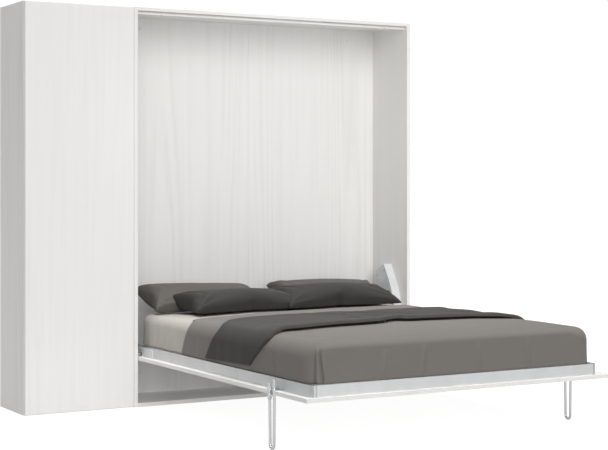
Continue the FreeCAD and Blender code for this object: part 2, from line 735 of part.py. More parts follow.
def frame_corner():
    """Quarter-round corner casting between a side rail and the foot rail."""
    mid_x = FRAME_LEFT + CORNER_R
    base = Vector(mid_x, CORNER_Y, PANEL_TOP_Z)
    inner_r = CORNER_R - RAIL_WIDTH
    outer = Part.makeCylinder(CORNER_R, RAIL_HEIGHT, base, Z_AXIS, 90)
    inner = Part.makeCylinder(inner_r, RAIL_HEIGHT, base, Z_AXIS, 90)
    corner = outer.cut(inner)
    corner.rotate(base, Z_AXIS, 180)
    return corner


def slat_places():
    return [SLAT_FIRST_Y + index * SLAT_PITCH for index in range(SLAT_COUNT)]


def slats():
    """The left-hand row of birch slats, from the side rail to the middle beam."""
    top = MATTRESS_BOTTOM_Z
    x0 = FRAME_LEFT + RAIL_WIDTH + 2
    x1 = FRAME_MID - 1.5
    return [
        board(x0, x1, y - SLAT_WIDTH / 2, y + SLAT_WIDTH / 2, top - SLAT_T, top, 1.5)
        for y in slat_places()
    ]


def slat_holders():
    """A plastic tray on the side rail under the end of each slat."""
    x0 = FRAME_LEFT + RAIL_WIDTH
    depth = 26.0
    half = SLAT_WIDTH / 2
    holders = []
    for y in slat_places():
        tray = block(x0, x0 + depth, y - half - 4, y + half + 4, PANEL_TOP_Z, MATTRESS_BOTTOM_Z)
        seat = block(
            x0 + 2,
            x0 + depth + 1,
            y - half,
            y + half,
            MATTRESS_BOTTOM_Z - SLAT_T,
            MATTRESS_BOTTOM_Z + 1,
        )
        holders.append(cut(tray, seat))
    return holders


def build_frame():
    inner_left = FRAME_LEFT + RAIL_WIDTH
    inner_right = FRAME_RIGHT - RAIL_WIDTH
    side_rail = tube_y(FRAME_LEFT, inner_left, CORNER_Y, RAIL_HEAD_Y)
    save("side_rail_left", side_rail)
    save("side_rail_right", mirrored(side_rail, FRAME_MID))
    foot_start = FRAME_LEFT + CORNER_R
    foot_end = FRAME_RIGHT - CORNER_R
    foot_inner_y = FRAME_FOOT_Y + RAIL_WIDTH
    save("foot_rail", tube_x(foot_start, foot_end, FRAME_FOOT_Y, foot_inner_y))
    save("head_rail", tube_x(inner_left, inner_right, HEAD_RAIL_Y, HEAD_RAIL_Y + RAIL_WIDTH))
    save("frame_corners", frame_corner(), mirrored(frame_corner(), FRAME_MID))
    beam = block(
        FRAME_MID - BEAM_WIDTH / 2,
        FRAME_MID + BEAM_WIDTH / 2,
        foot_inner_y,
        HEAD_RAIL_Y,
        PANEL_TOP_Z,
        MATTRESS_BOTTOM_Z - SLAT_T,
    )
    save("centre_beam", beam)
    save("slats_left", *slats())
    save("slats_right", *[mirrored(slat, FRAME_MID) for slat in slats()])
    holders = slat_holders()
    save("slat_holders", *holders, *[mirrored(holder, FRAME_MID) for holder in holders])


# ---------------------------------------------------------------- mattress and bedding

def mattress_cover(grow, y0, y1, z0, z1):
    """The mattress's outline made larger by grow on both sides and at the foot."""
    return block(MATTRESS_LEFT - grow, MATTRESS_RIGHT + grow, y0, y1, z0, z1)


def build_bedding():
    foot, head = MATTRESS_FOOT_Y, MATTRESS_HEAD_Y
    top = MATTRESS_TOP_Z
    mattress = mattress_cover(0, foot, head, MATTRESS_BOTTOM_Z, top)
    save("mattress", mattress)
    sheet_top = top + SHEET_T
    sheet = mattress_cover(SHEET_T, foot - SHEET_T, head + SHEET_T, BEDDING_BOTTOM_Z, sheet_top)
    save("fitted_sheet", cut(sheet, mattress))
    duvet_grow = SHEET_T + DUVET_T
    duvet_top = sheet_top + DUVET_T
    duvet_foot = foot - SHEET_T - DUVET_FOOT_T
    duvet = mattress_cover(duvet_grow, duvet_foot, DUVET_HEAD_Y, BEDDING_BOTTOM_Z, duvet_top)
    save("duvet", cut(duvet, sheet, mattress))
    blanket = mattress_cover(
        duvet_grow + BLANKET_T,
        BLANKET_FOOT_Y,
        BLANKET_HEAD_Y,
        BLANKET_HEM_Z,
        duvet_top + BLANKET_T,
    )
    save("blanket_band", cut(blanket, duvet, sheet, mattress))


def build_pillows():
    bottom = MATTRESS_TOP_Z + SHEET_T + 0.5
    rows = (("back", BACK_PILLOW_YS, BACK_PILLOW_TOP_Z), ("front", FRONT_PILLOW_YS, FRONT_PILLOW_TOP_Z))
    for row, (y0, y1), top in rows:
        for side in ("left", "right"):
            x0, x1 = PILLOW_XS[row, side]
            pillow = block(x0, x1, y0, y1, bottom, top)
            save("pillow_%s_%s" % (row, side), pillow.makeFillet(PILLOW_ROUND, pillow.Edges))


def main():
    os.makedirs("parts", exist_ok=True)
    build_column()
    build_hanging_rail()
    build_column_door()
    build_cabinet()
    build_door_buffers()
    build_mechanism()
    build_front_panel()
    build_legs()
    build_frame()
    build_bedding()
    build_pillows()


main()
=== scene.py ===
# Looks of the murphy wall bed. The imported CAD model's own boxes give each soft piece its size and
# place. Hems, folds and pillows are placed from the column's left face and the cabinet's front.
# All lengths are metres, in the CAD model's frame.

import math

import bpy
import numpy as np
from mathutils import Matrix, Vector, noise


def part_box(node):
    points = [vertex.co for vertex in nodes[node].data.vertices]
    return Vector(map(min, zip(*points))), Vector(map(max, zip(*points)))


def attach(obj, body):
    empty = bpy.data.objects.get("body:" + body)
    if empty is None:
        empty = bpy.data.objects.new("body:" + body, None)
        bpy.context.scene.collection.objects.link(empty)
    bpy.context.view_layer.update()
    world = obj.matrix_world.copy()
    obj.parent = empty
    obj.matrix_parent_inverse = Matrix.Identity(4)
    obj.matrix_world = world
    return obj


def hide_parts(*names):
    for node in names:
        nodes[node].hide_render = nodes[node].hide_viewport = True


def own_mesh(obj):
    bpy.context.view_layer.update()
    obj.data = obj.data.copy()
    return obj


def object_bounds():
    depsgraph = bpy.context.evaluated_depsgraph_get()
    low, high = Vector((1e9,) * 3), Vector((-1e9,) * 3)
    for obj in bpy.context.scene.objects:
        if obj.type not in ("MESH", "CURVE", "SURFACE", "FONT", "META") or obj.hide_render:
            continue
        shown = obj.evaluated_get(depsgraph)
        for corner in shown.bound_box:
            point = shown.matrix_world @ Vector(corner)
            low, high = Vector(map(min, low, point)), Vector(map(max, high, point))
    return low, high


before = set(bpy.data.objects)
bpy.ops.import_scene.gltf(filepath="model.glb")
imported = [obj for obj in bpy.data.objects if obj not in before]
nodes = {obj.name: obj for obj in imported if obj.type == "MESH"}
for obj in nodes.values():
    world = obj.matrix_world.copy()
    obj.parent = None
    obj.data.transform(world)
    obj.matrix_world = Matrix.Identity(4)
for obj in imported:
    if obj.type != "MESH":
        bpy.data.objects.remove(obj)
cad_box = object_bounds()


# ---------------------------------------------------------------- camera, lights, floor

CAMERA_PLACE = (-3.9039, -6.8951, 1.2465)
CAMERA_TURN = -29.91
CAMERA_SENSOR = 36.0
CAMERA_LENS = 89.4
CAMERA_SHIFT = -0.075
CAMERA_REACH = 60.0


def add_camera():
    """A level camera, shifted down instead of tilted, so that upright edges stay upright."""
    data = bpy.data.cameras.new("camera")
    data.sensor_width = CAMERA_SENSOR
    data.lens = CAMERA_LENS
    data.shift_y = CAMERA_SHIFT
    data.clip_end = CAMERA_REACH
    camera = bpy.data.objects.new("camera", data)
    camera.location = CAMERA_PLACE
    camera.rotation_euler = (math.radians(90), 0, math.radians(CAMERA_TURN))
    bpy.context.scene.collection.objects.link(camera)
    bpy.context.scene.camera = camera


def add_sun(name, toward, strength, spread):
    """A soft light from far away, shining along toward; spread is its size in degrees."""
    data = bpy.data.lights.new(name, "SUN")
    data.energy = strength
    data.angle = math.radians(spread)
    data.color = SUN_COLOUR
    light = bpy.data.objects.new(name, data)
    light.rotation_euler = Vector(toward).to_track_quat("-Z", "Y").to_euler()
    bpy.context.scene.collection.objects.link(light)


def add_panel(name, place, target, size, power):
    """A soft rectangular light, size = (width, height), shining from place to target."""
    data = bpy.data.lights.new(name, "AREA")
    data.shape = "RECTANGLE"
    data.size, data.size_y = size
    data.energy = power
    light = bpy.data.objects.new(name, data)
    light.location = place
    aim = Vector(target) - Vector(place)
    light.rotation_euler = aim.to_track_quat("-Z", "Y").to_euler()
    light.visible_camera = False
    bpy.context.scene.collection.objects.link(light)


def add_world():
    """A pale studio: brighter overhead than at the horizon, and nearly white where it is seen."""
    world = bpy.data.worlds.new("studio")
    bpy.context.scene.world = world
    world.use_nodes = True
    tree = world.node_tree
    background = tree.nodes["Background"]
    background.inputs["Color"].default_value = SKY_COLOUR
    where = tree.nodes.new("ShaderNodeTexCoord")
    split = tree.nodes.new("ShaderNodeSeparateXYZ")
    tree.links.new(where.outputs["Generated"], split.inputs["Vector"])
    height = tree.nodes.new("ShaderNodeMapRange")
    height.inputs["From Min"].default_value = HORIZON
    height.inputs["From Max"].default_value = ZENITH
    height.inputs["To Min"].default_value = AMBIENT * HORIZON_SHARE
    height.inputs["To Max"].default_value = AMBIENT * ZENITH_SHARE
    tree.links.new(split.outputs["Z"], height.inputs["Value"])
    seen = tree.nodes.new("ShaderNodeLightPath")
    level = tree.nodes.new("ShaderNodeMapRange")
    level.inputs["To Max"].default_value = SEEN_LEVEL
    tree.links.new(seen.outputs["Is Camera Ray"], level.inputs["Value"])
    tree.links.new(height.outputs["Result"], level.inputs["To Min"])
    tree.links.new(level.outputs["Result"], background.inputs["Strength"])


SUN_COLOUR = (1.0, 0.995, 0.985)
SKY_COLOUR = (0.99, 0.995, 1.0, 1)
AMBIENT = 0.30
HORIZON, HORIZON_SHARE = -0.05, 0.8
ZENITH, ZENITH_SHARE = 0.9, 1.25
SEEN_LEVEL = 1.05

add_camera()
add_world()
add_sun("front_light", toward=(0.27, 1.0, -0.35), strength=1.43, spread=40)
add_sun("top_light", toward=(0.0, 0.05, -1.0), strength=2.55, spread=22)
add_panel(
    "niche_light", place=(0.50, -0.45, 1.60), target=(0.45, 1.1, 0.70), size=(1.4, 1.0), power=5.2
)
bpy.context.scene.view_settings.view_transform = "Standard"


# ---------------------------------------------------------------- materials

def new_material(name, **values):
    """A Principled material: values are the shader's own inputs, with _ for a space."""
    material = bpy.data.materials.new(name)
    material.use_nodes = True
    shader = material.node_tree.nodes["Principled BSDF"]
    for key, value in values.items():
        shader.inputs[key.replace("_", " ")].default_value = value
    return material, material.node_tree, shader


def add(tree, kind, **values):
    """One node: values are its properties or, with _ for a space, its inputs."""
    item = tree.nodes.new("ShaderNode" + kind)
    for key, value in values.items():
        if hasattr(item, key):
            setattr(item, key, value)
        else:
            item.inputs[key.replace("_", " ")].default_value = value
    return item


def place(tree, scale, offset=(0, 0, 0)):
    """Object coordinates, stretched by scale."""
    here = add(tree, "TexCoord")
    mapping = add(tree, "Mapping", Scale=scale, Location=offset)
    tree.links.new(here.outputs["Object"], mapping.inputs["Vector"])
    return mapping.outputs["Vector"]


def field(tree, where, scale, detail=3.0, roughness=0.55):
    """A noise field over the points where."""
    item = add(tree, "TexNoise", Scale=scale, Detail=detail, Roughness=roughness)
    tree.links.new(where, item.inputs["Vector"])
    return item.outputs["Fac"]


def math_node(tree, operation, first, second=0.5, third=0.5):
    """The output of one Math node: its inputs are numbers or other nodes' outputs."""
    item = add(tree, "Math", operation=operation)
    for socket, value in zip(item.inputs, (first, second, third)):
        if isinstance(value, (int, float)):
            socket.default_value = value
        else:
            tree.links.new(value, socket)
    return item.outputs[0]


def ramp(tree, value, *stops):
    """Maps value through (position, grey or colour) stops."""
    item = add(tree, "ValToRGB")
    tree.links.new(value, item.inputs["Fac"])
    points = item.color_ramp.elements
    while len(points) < len(stops):
        points.new(0.5)
    for point, (position, colour) in zip(points, stops):
        if isinstance(colour, (int, float)):
            colour = (colour, colour, colour)
        point.position = position
        point.color = (*colour, 1)
    return item.outputs["Color"]


def bump(tree, shader, height, distance, strength):
    """Bends the shader's normal by height, which is distance metres deep at its full value."""
    item = add(tree, "Bump", Distance=distance, Strength=strength)
    tree.links.new(height, item.inputs["Height"])
    tree.links.new(item.outputs["Normal"], shader.inputs["Normal"])


def shade(colour, factor):
    """The colour made lighter or darker by a factor."""
    return tuple(min(1.0, channel * factor) for channel in colour)


ASH = (0.815, 0.807, 0.793)
GRAIN_ALONG = {"x": (0.03, 1, 1), "y": (1, 0.03, 1), "z": (1, 1, 0.03)}
FIGURE_ALONG = {"x": (0.05, 1, 1), "y": (1, 0.05, 1), "z": (1, 1, 0.05)}
EVEN = (1, 1, 1)
BOARD_STEP = (3.7, 1.9, 2.3)
RING_COUNT = 190


def white_ash(axis, seed):
    """White lacquered ash: fine pores and pale, gently wavering growth lines in some zones."""
    material, tree, shader = new_material("white_ash_%s_%d" % (axis, seed), Roughness=0.5)
    offset = tuple(seed * step for step in BOARD_STEP)
    long_way = place(tree, GRAIN_ALONG[axis], offset)
    figure_way = place(tree, FIGURE_ALONG[axis], offset)
    pores = field(tree, long_way, scale=260, detail=2.0)
    pores = ramp(tree, pores, (0.44, 0.0), (0.60, 1.0))
    streaks = field(tree, long_way, scale=45, detail=4.0)
    rings = field(tree, figure_way, scale=2.2, detail=1.5)
    rings = math_node(tree, "SINE", math_node(tree, "MULTIPLY", rings, RING_COUNT))
    rings = math_node(tree, "MULTIPLY_ADD", rings, 0.5, 0.5)
    rings = ramp(tree, rings, (0.35, 0.0), (0.95, 1.0))
    zones = field(tree, figure_way, scale=3.1, detail=1.0)
    zones = ramp(tree, zones, (0.42, 0.15), (0.60, 1.0))
    cut = math_node(tree, "MULTIPLY", rings, zones)
    cut = math_node(tree, "MULTIPLY", cut, math_node(tree, "MULTIPLY_ADD", pores, -0.6, 1.0))
    tone = math_node(tree, "ADD", math_node(tree, "MULTIPLY", cut, 0.5), streaks)
    colour = ramp(tree, tone, (0.30, shade(ASH, 1.02)), (0.55, ASH), (1.0, shade(ASH, 0.94)))
    tree.links.new(colour, shader.inputs["Base Color"])
    height = math_node(tree, "SUBTRACT", math_node(tree, "MULTIPLY", streaks, 0.3), cut)
    bump(tree, shader, height, distance=0.0004, strength=0.35)
    return material


def metal(name, colour, roughness, axis, streak=0.05):
    """Drawn or brushed metal with faint lines along one axis."""
    material, tree, shader = new_material(name, Metallic=1.0)
    way = place(tree, GRAIN_ALONG[axis])
    lines = field(tree, way, scale=220, detail=2.0)
    cloud = field(tree, place(tree, EVEN), scale=9)
    rough = ramp(tree, lines, (0.3, roughness * 0.94), (0.7, roughness * 1.06))
    tree.links.new(rough, shader.inputs["Roughness"])
    tone = ramp(tree, cloud, (0.35, shade(colour, 1 - streak)), (0.65, colour))
    tree.links.new(tone, shader.inputs["Base Color"])
    bump(tree, shader, lines, distance=0.00003, strength=0.02)
    return material


def coated(name, colour, roughness, spread=0.06):
    """Powder coat, enamel, moulded plastic or rubber: a fine texture, not a flat colour."""
    material, tree, shader = new_material(name, Roughness=roughness)
    where = place(tree, EVEN)
    fine = field(tree, where, scale=500, detail=2.0)
    cloud = field(tree, where, scale=12)
    tone = ramp(tree, cloud, (0.3, shade(colour, 1 - spread)), (0.7, shade(colour, 1 + spread)))
    tree.links.new(tone, shader.inputs["Base Color"])
    bump(tree, shader, fine, distance=0.0002, strength=0.4)
    return material


BIRCH_DARK = (0.50, 0.35, 0.20)
BIRCH = (0.66, 0.50, 0.32)
BIRCH_PALE = (0.74, 0.60, 0.42)


def birch():
    """Bent birch ply with its grain along the slat."""
    material, tree, shader = new_material("birch", Roughness=0.38)
    way = place(tree, GRAIN_ALONG["x"])
    grain = field(tree, way, scale=160, detail=5.0)
    colour = ramp(tree, grain, (0.3, BIRCH_DARK), (0.55, BIRCH), (0.8, BIRCH_PALE))
    tree.links.new(colour, shader.inputs["Base Color"])
    bump(tree, shader, grain, distance=0.0003, strength=0.3)
    return material


THREADS = 1100
SLUBS = 0.035


def cotton(name, colour):
    """Plain woven cotton: crossing threads, slubs and a soft uneven tone."""
    material, tree, shader = new_material(
        name, Roughness=0.85, Sheen_Weight=0.04, Sheen_Roughness=0.5
    )
    where = place(tree, EVEN)
    heights = []
    for direction in ("X", "Y", "Z"):
        wave = add(tree, "TexWave", bands_direction=direction, Scale=THREADS / 20, Distortion=0.6)
        wave.inputs["Detail"].default_value = 1.0
        tree.links.new(where, wave.inputs["Vector"])
        heights.append(wave.outputs["Fac"])
    weave = math_node(tree, "MAXIMUM", heights[0], math_node(tree, "MAXIMUM", *heights[1:]))
    fibre = field(tree, where, scale=THREADS)
    cloud = field(tree, where, scale=6, detail=4.0)
    tone = math_node(tree, "MULTIPLY_ADD", fibre, 0.5)
    tone = math_node(tree, "ADD", math_node(tree, "MULTIPLY", cloud, 0.8), tone)
    colours = ramp(
        tree, tone, (0.45, shade(colour, 1 - 2 * SLUBS)), (0.95, shade(colour, 1 + SLUBS))
    )
    tree.links.new(colours, shader.inputs["Base Color"])
    bump(tree, shader, math_node(tree, "ADD", weave, fibre), distance=0.0004, strength=0.35)
    return material


def paint(material, *names):
    """Gives the named CAD nodes one material."""
    for name in names:
        data = nodes[name].data
        data.materials.clear()
        data.materials.append(material)


# Painted light: the frame is one aluminium, given here in two copies. The darker colour carries
# painted shade for the side rails' outward faces, and the corners use it as well. The far paler
# colour carries painted light for the foot and head rails, which face the front light.
PAINTED_SHADE_ALUMINIUM = (0.61, 0.622, 0.632)
PAINTED_LIT_ALUMINIUM = (0.955, 0.965, 0.975)
UPRIGHT = [white_ash("z", seed) for seed in range(1, 7)]
LEVEL = [white_ash("x", seed) for seed in range(7, 9)]
FRONTS = [white_ash("y", seed) for seed in range(9, 11)]
paint(UPRIGHT[0], "column_door", "cabinet_side_right")
paint(UPRIGHT[1], "column_side_left")
paint(UPRIGHT[2], "column_side_right", "cabinet_side_left")
paint(UPRIGHT[3], "cabinet_back_left")
paint(UPRIGHT[4], "cabinet_back_right")
paint(UPRIGHT[5], "column_back")
paint(LEVEL[0], "column_top", "cabinet_top", "column_shelves")
paint(LEVEL[1], "cabinet_bottom", "column_bottom", "stop_rail")
paint(FRONTS[0], "front_panel_left")
paint(FRONTS[1], "front_panel_right")

# Side rails and centre beam take the copy with painted shade. Foot and head rails take the copy with
# painted light.
aluminium_along_painted_shade = metal("aluminium_along_painted_shade", PAINTED_SHADE_ALUMINIUM, 0.34, "y")
aluminium_across_painted_lit = metal("aluminium_across_painted_lit", PAINTED_LIT_ALUMINIUM, 0.42, "x")
paint(aluminium_along_painted_shade, "side_rail_left", "side_rail_right", "centre_beam")
paint(aluminium_across_painted_lit, "foot_rail", "head_rail")
paint(metal("aluminium_corner", PAINTED_SHADE_ALUMINIUM, 0.28, "z"), "frame_corners")
chrome = metal("chrome", (0.80, 0.81, 0.82), 0.09, "z", streak=0.02)
paint(chrome, "leg_left", "leg_right", "leg_bracket_left", "leg_bracket_right")
paint(chrome, "hanging_rail", "rail_sockets", "gas_rod_left", "gas_rod_right")
grey_steel = coated("grey_steel", (0.66, 0.675, 0.685), 0.45)
paint(grey_steel, "mechanism_plate_left", "mechanism_plate_right", "mechanism_housing_right")
paint(grey_steel, "lever_plate_left", "lever_plate_right")
zinc = metal("zinc", (0.58, 0.58, 0.56), 0.34, "z", streak=0.2)
paint(zinc, "mechanism_bolts", "joining_bolts", "shelf_pins", "pivot_pins", "spring_pins")
paint(zinc, "leg_pins", "door_pivot_pins", "door_pivot_brackets", "wall_strips")
enamel = coated("black_enamel", (0.028, 0.028, 0.03), 0.25)
paint(enamel, "gas_cylinder_left", "gas_cylinder_right")
paint(birch(), "slats_left", "slats_right")
paint(coated("black_plastic", (0.045, 0.045, 0.047), 0.5), "slat_holders", "pivot_bushes")
paint(coated("soft_rubber", (0.52, 0.52, 0.51), 0.75), "door_buffers")

BEIGE = cotton("beige_cotton", (0.43, 0.405, 0.375))
GREY = cotton("grey_cotton", (0.161, 0.150, 0.138))
CHARCOAL = cotton("charcoal_cotton", (0.0345, 0.0317, 0.0288))
DARK = cotton("dark_cotton", (0.0240, 0.0230, 0.0200))
TAUPE = cotton("taupe_cotton", (0.103, 0.097, 0.087))
TICKING = cotton("mattress_ticking", (0.70, 0.69, 0.66))


# ---------------------------------------------------------------- soft goods: shared tools

CABINET_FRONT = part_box("cabinet_side_left")[0].y
COLUMN_LEFT = cad_box[0].x


def across(x):
    """The frame's X of a point x metres right of the column's left face."""
    return COLUMN_LEFT + x


def along(y):
    """The frame's Y of a point y metres behind the cabinet's front."""
    return CABINET_FRONT + y


def soft_noise(point, size, seed):
    """Smooth noise from -1 to 1, with bumps about size metres wide."""
    return noise.noise(Vector(point) / size + Vector((seed * 7.3, seed * 3.1, seed * 5.7)))


def blend_curve(knots, value):
    """A smooth curve through (place, value) knots, flat beyond both ends."""
    last = len(knots) - 1
    if value <= knots[0][0]:
        return knots[0][1]
    if value >= knots[last][0]:
        return knots[last][1]

    def slope(k):
        (a, u), (b, v) = knots[max(0, k - 1)], knots[min(last, k + 1)]
        return (v - u) / (b - a)

    k = next(k for k in range(last) if value <= knots[k + 1][0])
    (a, u), (b, v) = knots[k], knots[k + 1]
    span, t = b - a, (value - a) / (b - a)
    bend = (t - 1) * slope(k) * span * (t - 1) * t + slope(k + 1) * span * t * t * (t - 1)
    return u + (v - u) * t * t * (3 - 2 * t) + bend


def clamp(value):
    """The value, kept between 0 and 1."""
    return max(0.0, min(1.0, value))


def hump(distance, width):
    """A smooth hump that is 1 at distance 0 and nearly 0 from twice its width on."""
    return math.exp(-((distance / width) ** 2))


CREASE_OVERRUN = 0.1


def crease(point, start, end, width, depth):
    """A straight fold from start to end in a plane: fades at its ends, depth at its middle."""
    ax, ay = start
    bx, by = end
    dx, dy = bx - ax, by - ay
    length = math.hypot(dx, dy)
    part = ((point[0] - ax) * dx + (point[1] - ay) * dy) / length**2
    fade = clamp(4 * min(part + CREASE_OVERRUN, 1 + CREASE_OVERRUN - part))
    if fade == 0.0:
        return 0.0
    off = ((point[0] - ax) * dy - (point[1] - ay) * dx) / length
    return depth * fade * hump(off, width)


def new_mesh_object(name, points, faces):
    """A smooth-shaded object in the scene."""
    mesh = bpy.data.meshes.new(name)
    mesh.from_pydata([tuple(point) for point in points], [], faces)
    mesh.update()
    mesh.polygons.foreach_set("use_smooth", [True] * len(mesh.polygons))
    piece = bpy.data.objects.new(name, mesh)
    bpy.context.scene.collection.objects.link(piece)
    return piece


def apply_modifiers(piece):
    """Keeps what the piece's modifiers give as its own mesh, and removes them."""
    graph = bpy.context.evaluated_depsgraph_get()
    piece.data = bpy.data.meshes.new_from_object(piece.evaluated_get(graph))
    piece.modifiers.clear()


def finish_soft(piece, material, slot_name, *replaced):
    """Dresses a soft piece, lets it ride on the bed and hides the CAD nodes it stands for."""
    piece.data.materials.append(material)
    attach(piece, "bed")
    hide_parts(*replaced)


def vertex_normals(points, faces):
    """Area-weighted normals of a mesh given as points and faces."""
    mesh = bpy.data.meshes.new("normals")
    mesh.from_pydata([tuple(point) for point in points], [], faces)
    mesh.update()
    normals = [vertex.normal.copy() for vertex in mesh.vertices]
    bpy.data.meshes.remove(mesh)
    return normals


def shell(name, points, faces, outward, inward):
    """A closed cloth: outward and inward are each point's offsets along its normal."""
    normals = vertex_normals(points, faces)
    count = len(points)
    outer = [point + normal * lift for point, normal, lift in zip(points, normals, outward)]
    inner = [point - normal * drop for point, normal, drop in zip(points, normals, inward)]
    skins = list(faces) + [tuple(index + count for index in reversed(face)) for face in faces]
    sides = {}
    for face in faces:
        for side in zip(face, face[1:] + face[:1]):
            sides[side] = True
    for a, b in sides:
        if (b, a) not in sides:
            skins.append((b, a, a + count, b + count))
    return new_mesh_object(name, outer + inner, skins)


# ---------------------------------------------------------------- a cover that wraps the mattress

SIDE_STEPS = 130
FOOT_STEPS = 190
ARC_STEPS = 20
SKIRT_STEPS = 13
EDGE_STEPS = 7
CORNER_SHARE = 0.002
FULL_EDGE_INSET = 0.16
FULL_EDGE_BLEND = 0.12


class Wrap:
    """A cloth over a box with rounded corners: a top, and a skirt down its sides.

    The skirt's rings run from the head end down the left side, across the foot and back up the
    right side. A closed wrap's rings go on round the head end as well. An open one ends at the
    curves head(x) on the top and side_head(z) on the sides. The top edge is rounded by edge, or
    by foot_edge along the foot, where it grows to edge near the right corner.
    """

    def __init__(
        self, box, corner, edge, head_corner=None, foot_edge=None, head=None, side_head=None
    ):
        self.low, self.high = box
        self.corner, self.edge, self.head_corner = corner, edge, head_corner
        self.foot_edge = foot_edge or edge
        self.head, self.side_head = head, side_head
        self.points, self.faces = [], []
        self.build()

    def arc(self, cx, cy, start, end, radius):
        """(point, outward way) pairs along an arc between two angles in degrees."""
        for step in range(ARC_STEPS + 1):
            angle = math.radians(start + (end - start) * step / ARC_STEPS)
            way = Vector((math.cos(angle), math.sin(angle), 0))
            yield Vector((cx, cy, 0)) + way * radius, way

    def line(self, a, b, count, way):
        """(point, outward way) pairs along a straight run, its end left out."""
        a, b = Vector((*a, 0)), Vector((*b, 0))
        for step in range(count):
            yield a.lerp(b, step / count), Vector((*way, 0))

    def outline(self, head_y):
        """Left, foot, right (and head) runs of (point, outward way), meeting in mid corner."""
        x0, y0, x1 = self.low.x, self.low.y, self.high.x
        c, h, n, m = self.corner, self.head_corner, SIDE_STEPS, FOOT_STEPS
        left_foot, right_foot = (x0 + c, y0 + c), (x1 - c, y0 + c)
        foot = list(self.arc(*left_foot, 225, 270, c))[:-1]
        foot += list(self.line((x0 + c, y0), (x1 - c, y0), m, (0, -1)))
        foot += list(self.arc(*right_foot, 270, 315, c))
        right = list(self.arc(*right_foot, 315, 360, c))[:-1]
        if self.head is None:
            y1 = self.high.y
            left = list(self.arc(x0 + h, y1 - h, 135, 180, h))[:-1]
            left += list(self.line((x0, y1 - h), (x0, y0 + c), n, (-1, 0)))
            left += list(self.arc(*left_foot, 180, 225, c))
            right += list(self.line((x1, y0 + c), (x1, y1 - h), n, (1, 0)))
            right += list(self.arc(x1 - h, y1 - h, 0, 45, h))
            top = list(self.arc(x1 - h, y1 - h, 45, 90, h))[:-1]
            top += list(self.line((x1 - h, y1), (x0 + h, y1), m, (0, 1)))
            top += list(self.arc(x0 + h, y1 - h, 90, 135, h))
            return [left, foot, right, top]
        left = list(self.line((x0, head_y), (x0, y0 + c), n, (-1, 0)))
        left += list(self.arc(*left_foot, 180, 225, c))
        right += list(self.line((x1, y0 + c), (x1, head_y), n, (1, 0)))
        right.append((Vector((x1, head_y, 0)), Vector((1, 0, 0))))
        return [left, foot, right]

    def edge_radius(self, spot, way):
        """The top edge's rounding at a point of the outline."""
        share = clamp((spot.x - self.high.x + FULL_EDGE_INSET) / FULL_EDGE_BLEND)
        foot_edge = self.foot_edge + (self.edge - self.foot_edge) * share
        return self.edge * way.x**2 + foot_edge * way.y**2

    def build(self):
        """The skirt's rings, each climb of the way up and then round the top edge by angle."""
        z0, z1 = self.low.z, self.high.z
        turns = [(k / SKIRT_STEPS, 0.0) for k in range(SKIRT_STEPS)]
        turns += [(1.0, math.pi / 2 * k / EDGE_STEPS) for k in range(EDGE_STEPS + 1)]
        rings = []
        for climb, angle in turns:
            level = z0 + (z1 - self.edge - z0) * climb + self.edge * math.sin(angle)
            head_y = self.side_head(level) if self.side_head else self.high.y
            ring = []
            for number, run in enumerate(self.outline(head_y)):
                for step, (spot, way) in enumerate(run):
                    if number and step == 0:
                        continue
                    r = self.edge_radius(spot, way)
                    spot = spot - way * r * (1 - math.cos(angle))
                    z = z0 + (z1 - r - z0) * climb + r * math.sin(angle)
                    ring.append(len(self.points))
                    self.points.append(Vector((spot.x, spot.y, z)))
            if self.head is None:
                self.points.pop()
                ring[-1] = ring[0]
            rings.append(ring)
        for low, high in zip(rings, rings[1:]):
            for k in range(len(low) - 1):
                self.faces.append((low[k], low[k + 1], high[k + 1], high[k]))
        self.rings = rings
        self.fill(rings[-1])

    def fill(self, rim):
        """The top's grid, blended between its four edges."""
        n = SIDE_STEPS + ARC_STEPS * (2 if self.head is None else 1)
        m = FOOT_STEPS + 2 * ARC_STEPS
        left = rim[: n + 1]
        foot = rim[n : n + m + 1]
        right = rim[n + m : 2 * n + m + 1][::-1]
        if self.head is None:
            top = (rim[2 * n + m :])[::-1]
        else:
            a, b = self.points[left[0]], self.points[right[0]]
            top = [left[0]]
            for i in range(1, m):
                share = (self.points[foot[i]].x - a.x) / (b.x - a.x)
                share = min(1 - CORNER_SHARE, max(CORNER_SHARE, share))
                x = a.x + (b.x - a.x) * share
                top.append(len(self.points))
                self.points.append(Vector((x, self.head(x), self.high.z)))
            top.append(right[0])
        grid = [[None] * (m + 1) for _ in range(n + 1)]
        grid[0], grid[n] = list(top), list(foot)
        for j in range(n + 1):
            grid[j][0], grid[j][m] = left[j], right[j]
        at = self.points
        corners = [at[grid[0][0]], at[grid[0][m]], at[grid[n][0]], at[grid[n][m]]]
        for j in range(1, n):
            v = j / n
            for i in range(1, m):
                u = i / m
                flat = corners[0].lerp(corners[1], u).lerp(corners[2].lerp(corners[3], u), v)
                rows = at[left[j]].lerp(at[right[j]], u)
                columns = at[top[i]].lerp(at[foot[i]], v)
                grid[j][i] = len(at)
                at.append(rows + columns - flat)
        for j in range(n):
            for i in range(m):
                self.faces.append((grid[j][i], grid[j + 1][i], grid[j + 1][i + 1], grid[j][i + 1]))
        self.grid = grid



def skirt_place(wrap, point):
    """Distance along the wrap's skirt from the middle of its foot-left corner, left side below 0."""
    middle = wrap.corner * (1 - math.sqrt(0.5))
    if point.x - wrap.low.x < point.y - wrap.low.y:
        return wrap.low.y + middle - point.y
    return point.x - wrap.low.x - middle


# ---------------------------------------------------------------- mattress and fitted sheet

COVER_ROOM = 0.002
PIPING_RISE, PIPING_WIDTH = 0.004, 0.006
PIPING_FROM_BOTTOM, PIPING_FROM_TOP = 0.018, 0.026
TUFT_DEPTH, TUFT_WAVE = 0.004, 26
TICKING_INSET = 0.0005


